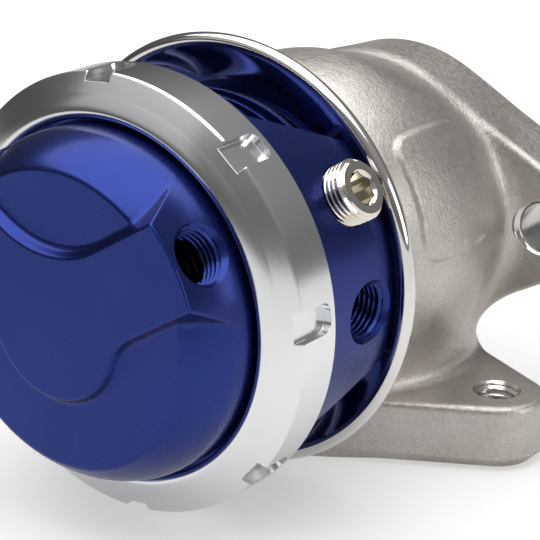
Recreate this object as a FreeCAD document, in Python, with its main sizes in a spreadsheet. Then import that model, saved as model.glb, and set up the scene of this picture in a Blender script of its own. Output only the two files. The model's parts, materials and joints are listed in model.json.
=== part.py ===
import FreeCAD, Part

import math
import os

import Sketcher

# External poppet wastegate, in millimetres.
#
# Every body is drawn in one bench frame: X across, Z up, and Y along the valve's own axis, where
# Y is the station counted from the cap's crown (0) to the inlet gasket face (overall_length).
# Each body's Placement then moves it so that the origin is the centre of the outlet port, on the
# outlet gasket face, with +Y pointing out of the inlet.

SIZES = {
    # overall
    "overall_length": 100.0,
    "axis_height": 38.3,
    "outlet_station": 74.5,
    "bolt_half_pitch": 37.0,
    "valve_bore": 19.0,
    # valve housing, a casting with machined faces
    "housing_top": 48.3,
    "neck_radius": 25.5,
    "neck_end": 51.0,
    "bulb_radius": 31.4,
    "bulb_station": 70.0,
    "bulb_front_arc": 33.5,
    "bulb_rear_arc": 101.0,
    "crown_radius": 26.9,
    "column_radius": 26.5,
    "column_station": 77.0,
    "inlet_flange_front": 87.8,
    "inlet_ear_radius": 9.5,
    "inlet_hole_radius": 4.5,
    "outlet_flange_thickness": 11.8,
    "outlet_flange_radius": 25.6,
    "outlet_ear_radius": 8.8,
    "outlet_hole_radius": 3.4,
    "outlet_foot_chamfer": 2.0,
    "flange_edge_round": 1.2,
    "hole_chamfer": 0.6,
    "tap_chamfer": 0.9,
    "pad_height": 0.55,
    "pad_angle": 15.5,
    "pad_half_angle": 28.0,
    "pad_start": 62.5,
    "pad_end": 85.5,
    "pad_front_fall": 1.25,
    "pad_rear_fall": 1.45,
    "gas_radius": 21.6,
    "gas_roof": 58.5,
    "gas_roof_slope": 5.0,
    "guide_boss_radius": 10.5,
    "guide_boss_end": 70.5,
    "guide_boss_root": 15.0,
    "outlet_bore_depth": 15.0,
    "outlet_throat_radius": 20.4,
    "outlet_throat_depth": 25.2,
    "cut_past": 9.0,
    # seat ring, valve, guide bush and stem seal
    "seat_start": 93.6,
    "seat_outer": 22.5,
    "seat_width": 1.5,
    "head_radius": 19.9,
    "head_back": 90.2,
    "head_rim": 1.6,
    "head_neck_end": 82.5,
    "stem_radius": 4.0,
    "stem_shoulder": 33.2,
    "stem_thread_radius": 3.0,
    "stem_thread_end": 20.6,
    "bush_radius": 7.0,
    "bush_flange_radius": 9.0,
    "bush_flange": 1.6,
    "bush_end": 72.5,
    "running_gap": 0.05,
    # actuator body
    "body_top": 20.3,
    "spigot_radius": 33.0,
    "body_shoulder": 25.5,
    "body_radius": 35.0,
    "body_base": 45.5,
    "body_chamfer": 0.6,
    "chamber_radius": 25.0,
    "chamber_floor": 41.5,
    "hub_radius": 10.5,
    "hub_top": 37.2,
    "fin_start": 28.4,
    "fin_pitch": 3.0,
    "fin_width": 1.2,
    "fin_count": 5,
    "fin_radius": 31.4,
    "fin_root": 28.2,
    "boss_angle": 12.5,
    "boss_wide_half": 50.0,
    "boss_narrow_half": 30.0,
    "boss_back": 44.4,
    "boss_back_chamfer": 1.2,
    "port_station": 37.0,
    "port_angle": -1.8,
    "plug_angle": 30.4,
    "port_radius": 4.35,
    "port_mouth_radius": 5.4,
    "plug_radius": 4.95,
    "plug_out": 38.6,
    "plug_in": 29.5,
    "plug_hex": 4.8,
    "plug_hex_depth": 4.5,
    # heat shield and gaskets
    "gasket": 0.8,
    "gasket_radius": 24.5,
    "shield_sheet": 1.0,
    "shield_flat_radius": 33.0,
    "shield_front_bend": 4.0,
    "shield_back_bend": 14.0,
    "shield_bead_radius": 1.6,
    "shield_radius": 38.1,
    "shield_bead_station": 45.2,
    "seal_pocket_radius": 7.0,
    "seal_length": 3.0,
    "ring_width": 0.9,
    # screws that hold the actuator body on the housing
    "screw_circle": 17.5,
    "screw_radius": 2.5,
    "screw_head_radius": 4.25,
    "screw_head": 4.6,
    "screw_end": 56.0,
    "screw_hex": 4.0,
    # cap and locking collar
    "crown_step": 2.0,
    "pad_radius": 24.5,
    "shoulder_station": 10.6,
    "cap_radius": 29.3,
    "cap_rim_station": 16.5,
    "cap_flange_radius": 32.9,
    "cap_bottom": 19.1,
    "cap_dome_radius": 20.5,
    "cap_dome": 5.2,
    "cap_dome_side": 10.2,
    "cap_bore": 25.0,
    "bar_angle": 31.0,
    "bar_half_width": 13.3,
    "bar_draft": 25.5,
    "lobe_radius": 18.6,
    "lobe_blend": 2.6,
    "vee_blend": 13.0,
    "cap_port_station": 6.7,
    "collar_radius": 37.0,
    "collar_front": 16.0,
    "collar_back": 25.0,
    "collar_bore": 33.3,
    "collar_lip_radius": 30.1,
    "collar_lip_front": 13.2,
    "collar_lip_back": 16.2,
    "collar_lip_round": 1.3,
    "collar_chamfer": 0.6,
    "notch_count": 8,
    "notch_width": 5.0,
    "notch_end": 23.4,
    "notch_corner": 1.8,
    "notch_depth": 1.5,
    "notch_angle": 4.5,
    # piston, diaphragm and springs
    "diaphragm": 1.1,
    "bead_radius": 32.4,
    "sleeve_radius": 24.3,
    "piston_radius": 22.2,
    "piston_wall": 1.6,
    "piston_top": 22.5,
    "piston_floor": 27.4,
    "piston_base": 29.4,
    "plate_radius": 19.0,
    "plate_base": 33.2,
    "washer": 1.0,
    "washer_radius": 6.0,
    "nut_height": 5.0,
    "nut_hex": 10.0,
    "outer_spring_radius": 16.6,
    "outer_spring_wire": 1.3,
    "outer_spring_turns": 3.0,
    "inner_spring_radius": 10.6,
    "inner_spring_wire": 1.0,
    "inner_spring_turns": 4.5,
}

doc = FreeCAD.newDocument("wastegate")
sheet = doc.addObject("Spreadsheet::Sheet", "Sizes")
for row, (alias, number) in enumerate(SIZES.items(), start=1):
    sheet.set(f"A{row}", alias)
    sheet.set(f"B{row}", str(number))
    sheet.setAlias(f"B{row}", alias)
doc.recompute()

MADE = []


def cells(text):
    """Turn bare alias words in an expression into references to the sheet."""
    out = ""
    word = ""
    for letter in text + " ":
        if letter.isalnum() or letter == "_":
            word += letter
            continue
        out += f"Sizes.{word}" if word in SIZES else word
        out += letter
        word = ""
    return out.strip()


def value(text):
    """The number that an expression over the sheet gives."""
    result = sheet.evalExpression(cells(text))
    return float(getattr(result, "Value", result))


def bind(item, **sizes):
    """Bind properties of an object to expressions over the sheet."""
    for name, text in sizes.items():
        item.setExpression(name.replace("__", "."), cells(text))


def new_body(name):
    """A PartDesign body in the bench frame, moved to the part's frame by its Placement."""
    body = doc.addObject("PartDesign::Body", name)
    body.Label = name
    bind(body, Placement__Base__y="-outlet_station * 1mm", Placement__Base__z="axis_height * 1mm")
    MADE.append(body)
    return body


def origin_plane(body, role):
    return next(plane for plane in body.Origin.OriginFeatures if plane.Role == role)


def draw(body, name, corners, role="XY_Plane", offset="0", turn="0"):
    """A closed sketch. A corner is (x, y), or (x, y, radius, side) where the edge that arrives
    there is an arc that curves to that side; all sizes are expressions over the sheet."""
    sketch = body.newObject("Sketcher::SketchObject", name)
    sketch.AttachmentSupport = [(origin_plane(body, role), "")]
    sketch.MapMode = "FlatFace"
    sketch.AttachmentOffset = FreeCAD.Placement(
        FreeCAD.Vector(), FreeCAD.Rotation(FreeCAD.Vector(1, 0, 0), 0))
    if turn != "0":
        bind(sketch, AttachmentOffset__Rotation__Angle=f"-({turn}) * 1deg",
             AttachmentOffset__Base__y=f"({offset}) * sin(({turn}) * 1deg) * 1mm",
             AttachmentOffset__Base__z=f"({offset}) * cos(({turn}) * 1deg) * 1mm")
    elif offset != "0":
        bind(sketch, AttachmentOffset__Base__z=f"({offset}) * 1mm")
    points = [FreeCAD.Vector(value(c[0]), value(c[1]), 0) for c in corners]
    edge_ends = []
    for index, corner in enumerate(corners):
        start = points[index - 1]
        end = points[index]
        if len(corner) == 2:
            sketch.addGeometry(Part.LineSegment(start, end), False)
            ends = (1, 2)
        else:
            radius = value(corner[2])
            chord = end - start
            rise = math.sqrt(max(radius ** 2 - chord.Length ** 2 / 4, 0))
            left = FreeCAD.Vector(-chord.y, chord.x, 0).normalize()
            side = 1 if corner[3] == "left" else -1
            middle = (start + end) / 2 + left * rise * side
            circle = Part.Circle(middle, FreeCAD.Vector(0, 0, 1), radius)
            first, last = (start, end) if side == 1 else (end, start)
            turn = [math.atan2(p.y - middle.y, p.x - middle.x) for p in (first, last)]
            if turn[1] < turn[0]:
                turn[1] += 2 * math.pi
            sketch.addGeometry(Part.ArcOfCircle(circle, turn[0], turn[1]), False)
            ends = (1, 2) if side == 1 else (2, 1)
            tie = sketch.addConstraint(Sketcher.Constraint("Radius", index, radius))
            sketch.setExpression(f"Constraints[{tie}]", cells(f"({corner[2]}) * 1mm"))
        edge_ends.append(ends)
    for index, corner in enumerate(corners):
        tip = edge_ends[index][1]
        following = (index + 1) % len(corners)
        tail = edge_ends[following][0]
        sketch.addConstraint(Sketcher.Constraint("Coincident", index, tip, following, tail))
        for kind, axis, text in (("DistanceX", -2, corner[0]), ("DistanceY", -1, corner[1])):
            size = value(text)
            if abs(size) < 1e-9:
                sketch.addConstraint(Sketcher.Constraint("PointOnObject", index, tip, axis))
                continue
            tie = sketch.addConstraint(Sketcher.Constraint(kind, -1, 1, index, tip, size))
            sketch.setExpression(f"Constraints[{tie}]", cells(f"({text}) * 1mm"))
    sketch.Visibility = False
    return sketch


def turned(body, name, corners, cut=False):
    """Revolve a profile of (radius, station) corners about the valve's axis."""
    sketch = draw(body, f"{name}_profile", corners)
    kind = "PartDesign::Groove" if cut else "PartDesign::Revolution"
    turn = body.newObject(kind, name)
    turn.Profile = sketch
    turn.ReferenceAxis = (sketch, ["V_Axis"])
    turn.Angle = 360
    doc.recompute()
    return turn


def extruded(body, name, sketch, length, reverse=False, cut=False, taper="0"):
    """Pad or pocket a sketch by a length over the sheet."""
    pad = body.newObject("PartDesign::Pocket" if cut else "PartDesign::Pad", name)
    pad.Profile = sketch
    pad.Reversed = reverse
    bind(pad, Length=f"({length}) * 1mm")
    if taper != "0":
        bind(pad, TaperAngle=f"({taper}) * 1deg")
    doc.recompute()
    return pad


def barrel(body, name, radius, length, at, turn="0", tilt="0", end_radius=None, add=False):
    """A cylinder, or a cone when end_radius is given, taken away from the body or added to it.
    Its axis starts along +Z, is tilted about X and then turned about the valve's axis."""
    sort = "Additive" if add else "Subtractive"
    piece = body.newObject(f"PartDesign::{sort}{'Cone' if end_radius else 'Cylinder'}", name)
    if end_radius:
        bind(piece, Radius1=f"({radius}) * 1mm", Radius2=f"({end_radius}) * 1mm")
    else:
        bind(piece, Radius=f"({radius}) * 1mm")
    bind(piece, Height=f"({length}) * 1mm")
    settle(piece, at, turn, tilt)
    return piece


def hexagon(body, name, across_flats, length, at, turn="0", tilt="0", add=False):
    """A hexagonal prism, sized across its flats, taken away or added like a barrel."""
    sort = "Additive" if add else "Subtractive"
    piece = body.newObject(f"PartDesign::{sort}Prism", name)
    piece.Polygon = 6
    bind(piece, Circumradius=f"({across_flats}) / sqrt(3) * 1mm", Height=f"({length}) * 1mm")
    settle(piece, at, turn, tilt)
    return piece


def settle(piece, at, turn, tilt):
    """Place a primitive at a point of the bench frame, with its axis tilted and turned."""
    spin = f"rotation(vector(0; 1; 0); ({turn}) * 1deg)"
    lean = f"rotation(vector(1; 0; 0); ({tilt}) * 1deg)"
    place = "; ".join(f"({part}) * 1mm" for part in at)
    bind(piece, Placement=f"placement(vector({place}); {spin} * {lean})")
    doc.recompute()


def on_circle(radius, angle, station):
    """A point at an angle counted from +X towards +Z around the valve's axis."""
    return (f"({radius}) * cos(({angle}) * 1deg)", station, f"({radius}) * sin(({angle}) * 1deg)")


def level(edge, height):
    """Whether an edge lies flat at a height."""
    box = edge.BoundBox
    return box.ZLength < 1e-3 and abs(box.ZMin - value(height)) < 1e-3


def on_column(edge):
    """Whether an edge runs round the outlet leg."""
    return (isinstance(edge.Curve, Part.Circle)
            and abs(edge.Curve.Radius - value("column_radius")) < 1e-3)


def dress(body, name, kind, size, wanted):
    """Fillet or chamfer the edges of the body's tip that are wanted."""
    base = body.Tip
    names = [f"Edge{n}" for n, edge in enumerate(base.Shape.Edges, start=1) if wanted(edge)]
    if not names:
        raise ValueError(f"{name}: no edge to dress")
    feature = body.newObject(f"PartDesign::{kind}", name)
    feature.Base = (base, names)
    bind(feature, **{"Radius" if kind == "Fillet" else "Size": f"({size}) * 1mm"})
    doc.recompute()
    return feature


def polar(body, name, features, count):
    """Repeat features around the valve's axis."""
    pattern = body.newObject("PartDesign::PolarPattern", name)
    pattern.Originals = features
    pattern.Axis = (next(a for a in body.Origin.OriginFeatures if a.Role == "Y_Axis"), [""])
    pattern.Angle = 360
    bind(pattern, Occurrences=count)
    body.Tip = pattern
    doc.recompute()
    return pattern


def flange_outline(centre, ear, middle="0"):
    """A two-bolt flange: a round centre and two ears, joined by tangent lines."""
    lean = f"(({centre}) - ({ear})) / bolt_half_pitch"
    rise = f"sqrt(1 - ({lean})^2)"
    near = f"({centre}) * ({lean})"
    far = f"bolt_half_pitch + ({ear}) * ({lean})"
    high = f"({centre}) * ({rise})"
    low = f"({ear}) * ({rise})"
    return [
        (f"-({near})", f"{middle} + {high}", centre, "left"),
        (f"-({far})", f"{middle} + {low}"),
        (f"-({far})", f"{middle} - {low}", ear, "left"),
        (f"-({near})", f"{middle} - {high}"),
        (near, f"{middle} - {high}", centre, "left"),
        (far, f"{middle} - {low}"),
        (far, f"{middle} + {low}", ear, "left"),
        (near, f"{middle} + {high}"),
    ]


def make_valve_housing():
    body = new_body("valve_housing")
    turned(body, "bulb", [
        ("0", "housing_top"), ("neck_radius", "housing_top"), ("neck_radius", "neck_end"),
        ("bulb_radius", "bulb_station", "bulb_front_arc", "left"),
        ("crown_radius", "overall_length", "bulb_rear_arc", "left"), ("0", "overall_length")])
    column = body.newObject("PartDesign::AdditiveCylinder", "column")
    bind(column, Radius="column_radius * 1mm", Height="axis_height * 1mm",
         Placement__Base__y="column_station * 1mm", Placement__Base__z="-axis_height * 1mm")
    doc.recompute()
    outline = draw(body, "outlet_outline", flange_outline(
        "outlet_flange_radius", "outlet_ear_radius", "outlet_station"), offset="-axis_height")
    extruded(body, "outlet_flange", outline, "outlet_flange_thickness")
    top = "outlet_flange_thickness - axis_height"
    dress(body, "foot_chamfer", "Chamfer", "outlet_foot_chamfer",
          lambda edge: level(edge, "-axis_height"))
    dress(body, "flange_edge", "Fillet", "flange_edge_round",
          lambda edge: level(edge, top) and not on_column(edge))
    outline = draw(body, "inlet_outline", flange_outline("crown_radius", "inlet_ear_radius"),
                   role="XZ_Plane", offset="-overall_length")
    extruded(body, "inlet_flange", outline, "overall_length - inlet_flange_front")
    make_pad(body)
    turned(body, "gas_chamber", [
        ("0", "guide_boss_end"), ("guide_boss_radius", "guide_boss_end"),
        ("guide_boss_root", "gas_roof"), ("gas_radius", "gas_roof + gas_roof_slope"),
        ("gas_radius", "seat_start"), ("seat_outer", "seat_start"),
        ("seat_outer", "overall_length + cut_past"), ("0", "overall_length + cut_past")],
        cut=True)
    turned(body, "machined_face", [
        ("0", "overall_length"), ("bulb_radius * 2", "overall_length"),
        ("bulb_radius * 2", "overall_length + cut_past"),
        ("0", "overall_length + cut_past")], cut=True)
    barrel(body, "outlet_bore", "valve_bore", "outlet_bore_depth",
           ("0", "outlet_station", "-axis_height"))
    barrel(body, "outlet_throat", "outlet_throat_radius", "outlet_throat_depth - outlet_bore_depth",
           ("0", "outlet_station", "outlet_bore_depth - axis_height"))
    turned(body, "guide_bore", [
        ("0", "housing_top"), ("bush_flange_radius + 0.1", "housing_top"),
        ("bush_flange_radius + 0.1", "housing_top + bush_flange"),
        ("bush_radius", "housing_top + bush_flange"),
        ("bush_radius", "guide_boss_end + 1"), ("0", "guide_boss_end + 1")], cut=True)
    for side, sign in (("left", "-"), ("right", "")):
        barrel(body, f"inlet_hole_{side}", "inlet_hole_radius", "overall_length / 2",
               (f"{sign}bolt_half_pitch", "overall_length + 1", "0"), tilt="90")
        barrel(body, f"inlet_sink_{side}", "inlet_hole_radius", "hole_chamfer",
               (f"{sign}bolt_half_pitch", "inlet_flange_front + hole_chamfer", "0"), tilt="90",
               end_radius="inlet_hole_radius + hole_chamfer")
        barrel(body, f"outlet_hole_{side}", "outlet_hole_radius", "axis_height",
               (f"{sign}bolt_half_pitch", "outlet_station", "-axis_height - 1"))
        barrel(body, f"outlet_sink_{side}", "outlet_hole_radius", "tap_chamfer",
               (f"{sign}bolt_half_pitch", "outlet_station", f"{top} - tap_chamfer"),
               end_radius="outlet_hole_radius + tap_chamfer")
    screw_holes(body, "screw_radius", "housing_top", "screw_end + 0.5")


def make_pad(body):
    """A plain raised panel that follows the bulb's side."""
    sketch = draw(body, "pad_profile", [
        ("bulb_radius - 3", "pad_start"), ("bulb_radius + pad_height - pad_front_fall", "pad_start"),
        ("bulb_radius + pad_height", "bulb_station", "bulb_front_arc", "left"),
        ("bulb_radius + pad_height - pad_rear_fall", "pad_end", "bulb_rear_arc", "left"),
        ("bulb_radius - 3", "pad_end")])
    sketch.AttachmentOffset = FreeCAD.Placement(
        FreeCAD.Vector(), FreeCAD.Rotation(FreeCAD.Vector(0, 1, 0), 0))
    bind(sketch, AttachmentOffset__Rotation__Angle="-pad_angle * 1deg")
    pad = body.newObject("PartDesign::Revolution", "pad")
    pad.Profile = sketch
    pad.ReferenceAxis = (sketch, ["V_Axis"])
    pad.Midplane = True
    bind(pad, Angle="2 * pad_half_angle * 1deg")
    doc.recompute()


def screw_holes(body, radius, start, end):
    """The four holes for the screws that join the actuator body to the housing."""
    hole = barrel(body, "screw_hole", radius, f"({end}) - ({start})",
                  on_circle("screw_circle", "45", end), tilt="90")
    polar(body, "screw_holes", [hole], "4")


def make_seat_ring():
    body = new_body("seat_ring")
    turned(body, "ring", [
        ("valve_bore + seat_width", "seat_start"), ("seat_outer", "seat_start"),
        ("seat_outer", "overall_length"), ("valve_bore", "overall_length"),
        ("valve_bore", "seat_start + seat_width")])


def make_poppet_valve():
    body = new_body("poppet_valve")
    rim = "head_back + head_rim"
    face = "seat_start + seat_width - running_gap"
    turned(body, "valve", [
        ("0", "stem_thread_end"), ("stem_thread_radius", "stem_thread_end"),
        ("stem_thread_radius", "stem_shoulder"), ("stem_radius", "stem_shoulder"),
        ("stem_radius", "head_neck_end"), ("stem_radius + 1.4", "head_neck_end + 3.6", "5", "right"),
        ("head_radius - 1", "head_back"), ("head_radius", rim),
        ("head_radius", f"{face} - (head_radius - valve_bore + running_gap)"),
        ("valve_bore - running_gap", face), ("valve_bore - 3", face),
        ("valve_bore - 6", f"{face} - 1.2"), ("0", f"{face} - 1.2")])


def make_guide_bush():
    body = new_body("guide_bush")
    turned(body, "bush", [
        ("stem_radius + running_gap", "housing_top"), ("bush_flange_radius", "housing_top"),
        ("bush_flange_radius", "housing_top + bush_flange"),
        ("bush_radius", "housing_top + bush_flange"), ("bush_radius", "bush_end"),
        ("stem_radius + running_gap", "bush_end")])


def make_disc(name, inner, outer, start, end):
    """A plain ring between two stations."""
    body = new_body(name)
    turned(body, "disc", [(inner, start), (outer, start), (outer, end), (inner, end)])
    return body


def make_heat_shield():
    """A dished disc whose rim is rolled into a bead."""
    body = new_body("heat_shield")
    front = "body_base + gasket"
    back = "body_base + gasket + shield_sheet"
    bead = "shield_radius - shield_bead_radius"
    turned(body, "dish", [
        ("stem_radius + 4", front), ("shield_flat_radius", front),
        (f"{bead} - 1.2", "shield_bead_station - 0.7", "shield_front_bend", "right"),
        (bead, "shield_bead_station - shield_bead_radius", "shield_bead_radius", "left"),
        ("shield_radius", "shield_bead_station", "shield_bead_radius", "left"),
        (bead, "shield_bead_station + shield_bead_radius", "shield_bead_radius", "left"),
        ("shield_flat_radius", back, "shield_back_bend", "left"), ("stem_radius + 4", back)])
    screw_holes(body, "screw_radius + 0.2", f"{front} - 1", f"{back} + 1")


def make_flat_gasket(name, start):
    body = make_disc(name, "stem_radius + 4", "gasket_radius", start, f"{start} + gasket")
    screw_holes(body, "screw_radius + 0.2", f"{start} - 1", f"{start} + gasket + 1")


def make_actuator_body():
    """A finned cup with one solid boss for its two ports."""
    body = new_body("actuator_body")
    profile = [
        ("0", "body_top"), ("spigot_radius", "body_top"), ("spigot_radius", "body_shoulder"),
        ("body_radius - body_chamfer", "body_shoulder"),
        ("body_radius", "body_shoulder + body_chamfer"), ("body_radius", "fin_start - 0.6"),
        ("body_radius - 1.2", "fin_start")]
    for fin in range(SIZES["fin_count"]):
        start = f"fin_start + fin_pitch * {fin}"
        profile += [("fin_root", start), ("fin_root", f"{start} + fin_pitch - fin_width"),
                    ("fin_radius", f"{start} + fin_pitch - fin_width"),
                    ("fin_radius", f"{start} + fin_pitch")]
    profile += [("fin_root", "fin_start + fin_pitch * fin_count"), ("fin_root", "body_base"),
                ("0", "body_base")]
    turned(body, "finned_cup", profile)
    wide = "body_radius * sin(boss_wide_half * 1deg)"
    narrow = "body_radius * sin(boss_narrow_half * 1deg)"
    boss = draw(body, "boss_outline", [
        ("body_shoulder + body_chamfer", wide), ("body_shoulder + body_chamfer", f"-({wide})"),
        ("boss_back", f"-({narrow})"), ("boss_back", narrow)], role="YZ_Plane", turn="boss_angle")
    extruded(body, "port_boss", boss, "body_radius + 2")
    turned(body, "boss_face", [
        ("body_radius", "body_shoulder"), ("body_radius * 2", "body_shoulder"),
        ("body_radius * 2", "boss_back"), ("body_radius - boss_back_chamfer", "boss_back"),
        ("body_radius", "boss_back - boss_back_chamfer")], cut=True)
    turned(body, "chamber", [
        ("0", "body_top - 1"), ("chamber_radius", "body_top - 1"),
        ("chamber_radius", "chamber_floor"), ("hub_radius + 2", "chamber_floor"),
        ("hub_radius", "hub_top"), ("seal_pocket_radius", "hub_top"),
        ("seal_pocket_radius", "hub_top + seal_length + ring_width + 0.2"),
        ("stem_radius + 0.6", "hub_top + seal_length + ring_width + 0.2"),
        ("stem_radius + 0.6", "body_base + 1"), ("0", "body_base + 1")], cut=True)
    for name, angle, radius in (("open", "port_angle", "port_radius"),
                                ("plugged", "plug_angle", "plug_radius + running_gap")):
        barrel(body, f"{name}_port", radius, "body_radius - chamber_radius + 4",
               on_circle("chamber_radius - 3", angle, "port_station"), turn=f"90 - ({angle})")
        barrel(body, f"{name}_port_mouth", radius, "port_mouth_radius - port_radius",
               on_circle("body_radius - (port_mouth_radius - port_radius) + 0.15", angle,
                         "port_station"),
               turn=f"90 - ({angle})", end_radius="port_mouth_radius + 0.1")
    screw_holes(body, "screw_radius + 0.2", "chamber_floor - 1", "body_base + 1")


def make_body_screws():
    """Four socket head screws in one node."""
    body = new_body("body_screws")
    body.AllowCompound = True
    for quarter in range(4):
        angle = f"45 + 90 * {quarter}"
        barrel(body, f"head_{quarter + 1}", "screw_head_radius", "screw_head",
               on_circle("screw_circle", angle, "chamber_floor"), tilt="90", add=True)
        barrel(body, f"shank_{quarter + 1}", "screw_radius - running_gap",
               "screw_end - chamber_floor + 1",
               on_circle("screw_circle", angle, "screw_end"), tilt="90", add=True)
        hexagon(body, f"socket_{quarter + 1}", "screw_hex", "screw_head",
                on_circle("screw_circle", angle, "chamber_floor - screw_head / 2"), tilt="90")


def make_port_plug():
    """A socket pipe plug, screwed part way into the boss."""
    body = new_body("port_plug")
    turn = "90 - plug_angle"
    barrel(body, "shank", "plug_radius", "plug_out - plug_in - 0.5",
           on_circle("plug_in", "plug_angle", "port_station"), turn=turn, add=True)
    barrel(body, "rim", "plug_radius", "0.5",
           on_circle("plug_out - 0.5", "plug_angle", "port_station"), turn=turn,
           end_radius="plug_radius - 0.5", add=True)
    hexagon(body, "socket", "plug_hex", "plug_hex_depth + 1",
            on_circle("plug_out - plug_hex_depth", "plug_angle", "port_station"), turn=turn)


def ridge_outline():
    """The cap's raised figure: two bars that rise to the rim and a round lobe at the centre."""
    angle = "bar_angle * 1deg"
    reach = "cap_radius * 1.4"
    width = "bar_half_width"
    bend = f"asin(({width} + lobe_blend) / (lobe_radius + lobe_blend))"
    far = f"(lobe_radius + lobe_blend) * cos({bend})"
    end_low = (f"{reach} * cos({angle}) + {width} * sin({angle})",
               f"{reach} * sin({angle}) - {width} * cos({angle})")
    end_high = (f"{reach} * cos({angle}) - {width} * sin({angle})",
                f"{reach} * sin({angle}) + {width} * cos({angle})")
    vee = (f"vee_blend * sin({angle})", f"({width} + vee_blend) / cos({angle}) - vee_blend * cos({angle})")
    root = (f"{far} * cos({angle}) + {width} * sin({angle})",
            f"{far} * sin({angle}) - {width} * cos({angle})")
    lobe = (f"lobe_radius * cos({angle} - {bend})", f"lobe_radius * sin({angle} - {bend})")
    mirror = [(f"-({x})", y) for x, y in (lobe, root, end_low, end_high, vee)]
    return [
        end_low, end_high, vee,
        mirror[4] + ("vee_blend", "right"), mirror[3], mirror[2], mirror[1],
        mirror[0] + ("lobe_blend", "right"), lobe + ("lobe_radius", "left"),
        root + ("lobe_blend", "right")]


def make_top_cap():
    """A domed cap with a raised ridge; a port is drilled in the end of one bar."""
    body = new_body("top_cap")
    turned(body, "dome", [
        ("0", "crown_step"), ("pad_radius", "crown_step"),
        ("cap_radius", "shoulder_station", "16", "left"), ("cap_radius", "cap_rim_station"),
        ("cap_flange_radius", "cap_rim_station"), ("cap_flange_radius", "cap_bottom"),
        ("0", "cap_bottom")])
    outline = draw(body, "ridge_outline", ridge_outline(), role="XZ_Plane",
                   offset="-(shoulder_station + 2.5)")
    extruded(body, "ridge", outline, "shoulder_station + 2.5", taper="-bar_draft")
    turned(body, "ridge_ends", [
        ("cap_radius", "-1"), ("cap_radius * 2", "-1"), ("cap_radius * 2", "cap_rim_station - 1"),
        ("cap_radius", "cap_rim_station - 1")], cut=True)
    turned(body, "inside", [
        ("0", "cap_dome"), ("cap_dome_radius", "cap_dome"), ("cap_bore", "cap_dome_side"),
        ("cap_bore", "cap_bottom + 1"), ("0", "cap_bottom + 1")], cut=True)
    mouth = "port_mouth_radius - port_radius"
    barrel(body, "port", "port_radius", "cap_radius - cap_dome_radius + 2",
           on_circle("cap_dome_radius", "bar_angle", "cap_port_station"),
           turn="90 - bar_angle")
    barrel(body, "port_mouth", "port_radius", mouth,
           on_circle(f"cap_radius - ({mouth}) + 0.2", "bar_angle", "cap_port_station"),
           turn="90 - bar_angle", end_radius="port_mouth_radius + 0.1")


def make_locking_collar():
    """A ring nut whose lip holds the cap down; eight notches take a pin spanner."""
    body = new_body("locking_collar")
    turned(body, "ring", [
        ("collar_lip_radius", "collar_lip_back"), ("collar_bore", "collar_lip_back"),
        ("collar_bore", "collar_back"), ("collar_radius - collar_chamfer", "collar_back"),
        ("collar_radius", "collar_back - collar_chamfer"),
        ("collar_radius", "collar_front + collar_chamfer"),
        ("collar_radius - collar_chamfer", "collar_front"),
        ("collar_lip_radius + collar_lip_round", "collar_lip_front"),
        ("collar_lip_radius", "collar_lip_front + collar_lip_round", "collar_lip_round", "right")])
    half = "notch_width / 2"
    corner = "notch_corner"
    outline = draw(body, "notch_outline", [
        ("collar_lip_front", half), ("collar_lip_front", f"-{half}"),
        (f"notch_end - {corner}", f"-{half}"),
        ("notch_end", f"-{half} + {corner}", corner, "left"),
        ("notch_end", f"{half} - {corner}"), (f"notch_end - {corner}", half, corner, "left")],
        role="YZ_Plane", offset="collar_radius - notch_depth", turn="notch_angle")
    notch = extruded(body, "notch", outline, "notch_depth * 2", reverse=True, cut=True)
    polar(body, "notches", [notch], "notch_count")


def make_piston():
    """The spring cup that the diaphragm rolls around."""
    body = new_body("piston")
    inside = "piston_radius - piston_wall"
    turned(body, "cup", [
        ("stem_thread_radius + 0.1", "piston_floor"), (inside, "piston_floor"),
        (inside, "piston_top"), ("piston_radius", "piston_top"),
        ("piston_radius", "piston_base - 1.5"),
        ("piston_radius - 1.5", "piston_base", "1.5", "left"),
        ("stem_thread_radius + 0.1", "piston_base")])


def make_diaphragm():
    """A rolling diaphragm: a clamped rim, a sleeve beside the piston and a floor under it."""
    body = new_body("diaphragm")
    rim = "body_top - 0.05"
    floor = "piston_base + 0.05"
    inner = "sleeve_radius - diaphragm"
    turned(body, "membrane", [
        ("stem_thread_radius + 0.1", floor), (f"{inner} - 2", floor),
        (inner, f"{floor} - 2", "2", "right"), (inner, f"{rim} - diaphragm"),
        ("bead_radius", f"{rim} - diaphragm"), ("bead_radius", rim), ("sleeve_radius", rim),
        ("sleeve_radius", f"{floor} - 2"),
        (f"{inner} - 2", f"{floor} + diaphragm", "2 + diaphragm", "left"),
        ("stem_thread_radius + 0.1", f"{floor} + diaphragm")])


def make_stem_nut():
    body = new_body("stem_nut")
    base = "piston_floor - washer"
    hexagon(body, "hexagon", "nut_hex", "nut_height", ("0", base, "0"), tilt="90", add=True)
    barrel(body, "thread", "stem_thread_radius + running_gap", "nut_height + 2",
           ("0", f"{base} + 1", "0"), tilt="90")


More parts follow.
